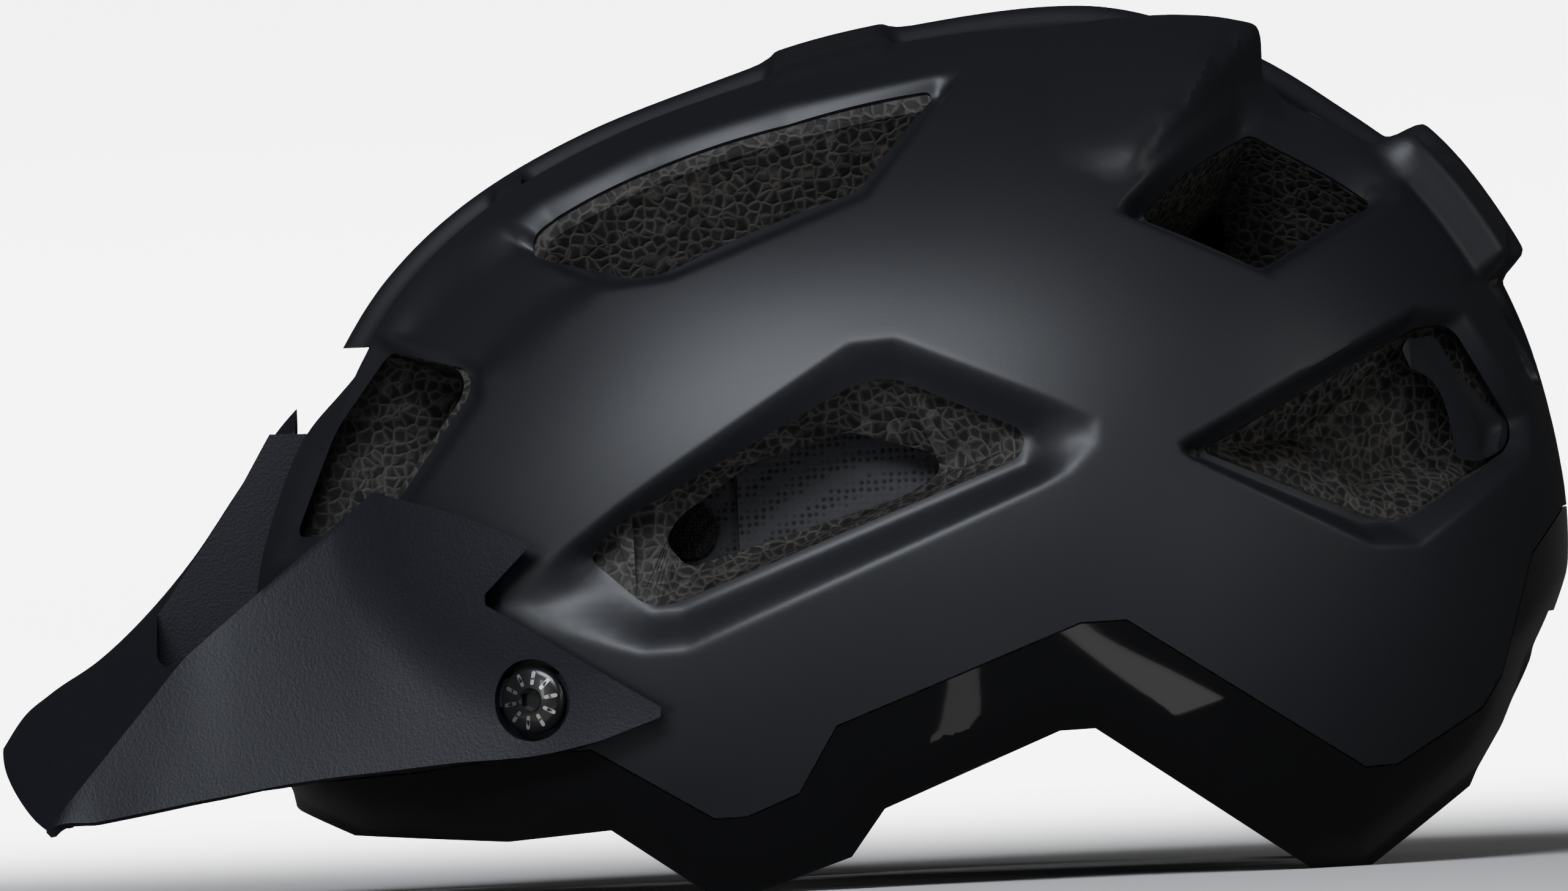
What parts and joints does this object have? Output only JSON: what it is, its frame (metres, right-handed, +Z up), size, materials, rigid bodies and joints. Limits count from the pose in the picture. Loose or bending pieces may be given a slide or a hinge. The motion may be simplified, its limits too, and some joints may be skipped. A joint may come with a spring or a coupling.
{
  "type": "cycling helmet",
  "caption": "Trail cycling helmet with long front visor, matt and gloss skins over a vented foam liner, and a dial-fit cradle.",
  "frame": {"origin": "bottom centre of the whole helmet's box: the table plane through its four low rim points, on the middle plane", "axes": "+X towards the back of the head, the visor's tip is at -X; +Y towards the wearer's right; +Z up"},
  "size_m": [0.3377, 0.2129, 0.1856],
  "materials": {
    "matt_shell": "satin matt near-black",
    "gloss_shell": "high gloss black",
    "eps_foam": "dark expanded bead foam",
    "visor_plastic": "fine textured matt navy-black",
    "screw_metal": "black with bare silver dashes",
    "insert_brass": "turned",
    "anchor_plastic": "moulded nylon",
    "buckle_plastic": "moulded acetal, satin",
    "webbing": "woven polyester webbing",
    "pad_fabric": "knitted mesh over soft foam",
    "hook_tape": "hook tape",
    "fit_plastic": "flexible moulded nylon, satin",
    "gear_plastic": "moulded acetal",
    "knob_rubber": "soft-touch rubber"
  },
  "bodies": {
    "helmet": {"upper_shell": "matt_shell", "lower_shell": "gloss_shell", "foam_liner": "eps_foam", "visor_insert_left": "insert_brass", "visor_insert_right": "insert_brass", "strap_anchor_front_left": "anchor_plastic", "strap_anchor_front_right": "anchor_plastic", "strap_anchor_rear_left": "anchor_plastic", "strap_anchor_rear_right": "anchor_plastic", "strap_front_left": "webbing", "strap_front_right": "webbing", "strap_rear_left": "webbing", "strap_rear_right": "webbing", "strap_divider_left": "buckle_plastic", "strap_divider_right": "buckle_plastic", "chin_strap_left": "webbing", "chin_strap_right": "webbing", "buckle_socket": "buckle_plastic", "brow_pad": "pad_fabric", "crown_pad_centre": "pad_fabric", "crown_pad_left": "pad_fabric", "crown_pad_right": "pad_fabric", "rear_pad_left": "pad_fabric", "rear_pad_right": "pad_fabric", "side_pad_left": "pad_fabric", "side_pad_right": "pad_fabric", "vent_net_left": "pad_fabric", "vent_net_right": "pad_fabric", "hook_dots": "hook_tape", "belt_pin_left": "anchor_plastic", "belt_pin_right": "anchor_plastic", "height_strip": "fit_plastic"},
    "visor": {"visor": "visor_plastic"},
    "visor_screw_left": {"visor_screw_left": "screw_metal"},
    "visor_screw_right": {"visor_screw_right": "screw_metal"},
    "cradle": {"belt_left": "fit_plastic", "belt_right": "fit_plastic", "cradle_pad_left": "pad_fabric", "cradle_pad_right": "pad_fabric", "neck_yoke": "fit_plastic", "dial_housing_front": "fit_plastic", "dial_housing_back": "fit_plastic"},
    "dial": {"dial_knob": "knob_rubber", "dial_pinion": "gear_plastic"},
    "rack_left": {"rack_left": "gear_plastic"},
    "rack_right": {"rack_right": "gear_plastic"},
    "buckle_tongue": {"buckle_tongue": "buckle_plastic"}
  },
  "joints": [
    {"name": "visor_tilt", "type": "hinge", "parent": "helmet", "child": "visor", "pos_m": [-0.053, 0, 0.0427], "axis": [0, 1, 0], "range_deg": [0, 11]},
    {"name": "visor_screw_left_turn", "type": "hinge", "parent": "helmet", "child": "visor_screw_left", "pos_m": [-0.053, -0.09015, 0.0427], "axis": [-0.4067, -0.9135, 0], "continuous": true},
    {"name": "visor_screw_right_turn", "type": "hinge", "parent": "helmet", "child": "visor_screw_right", "pos_m": [-0.053, 0.09015, 0.0427], "axis": [-0.4067, 0.9135, 0], "continuous": true},
    {"name": "cradle_height", "type": "hinge", "parent": "helmet", "child": "cradle", "pos_m": [-0.044, 0, 0.03], "axis": [0, 1, 0], "range_deg": [-1.4, 2.7]},
    {"name": "dial_turn", "type": "hinge", "parent": "cradle", "child": "dial", "pos_m": [0.125, 0, 0.028], "axis": [1, 0, 0], "range_deg": [-90, 90]},
    {"name": "rack_left_slide", "type": "slide", "parent": "cradle", "child": "rack_left", "axis": [0, -1, 0], "range_m": [-0.00795, 0.00795]},
    {"name": "rack_right_slide", "type": "slide", "parent": "cradle", "child": "rack_right", "axis": [0, 1, 0], "range_m": [-0.00795, 0.00795]},
    {"name": "buckle_release", "type": "slide", "parent": "helmet", "child": "buckle_tongue", "axis": [0, -1, 0], "range_m": [0, 0.014]}
  ],
  "couplings": [
    {"joint": "rack_left_slide", "follows": "dial_turn", "m_per_rad": 0.005},
    {"joint": "rack_right_slide", "follows": "dial_turn", "m_per_rad": 0.005}
  ]
}
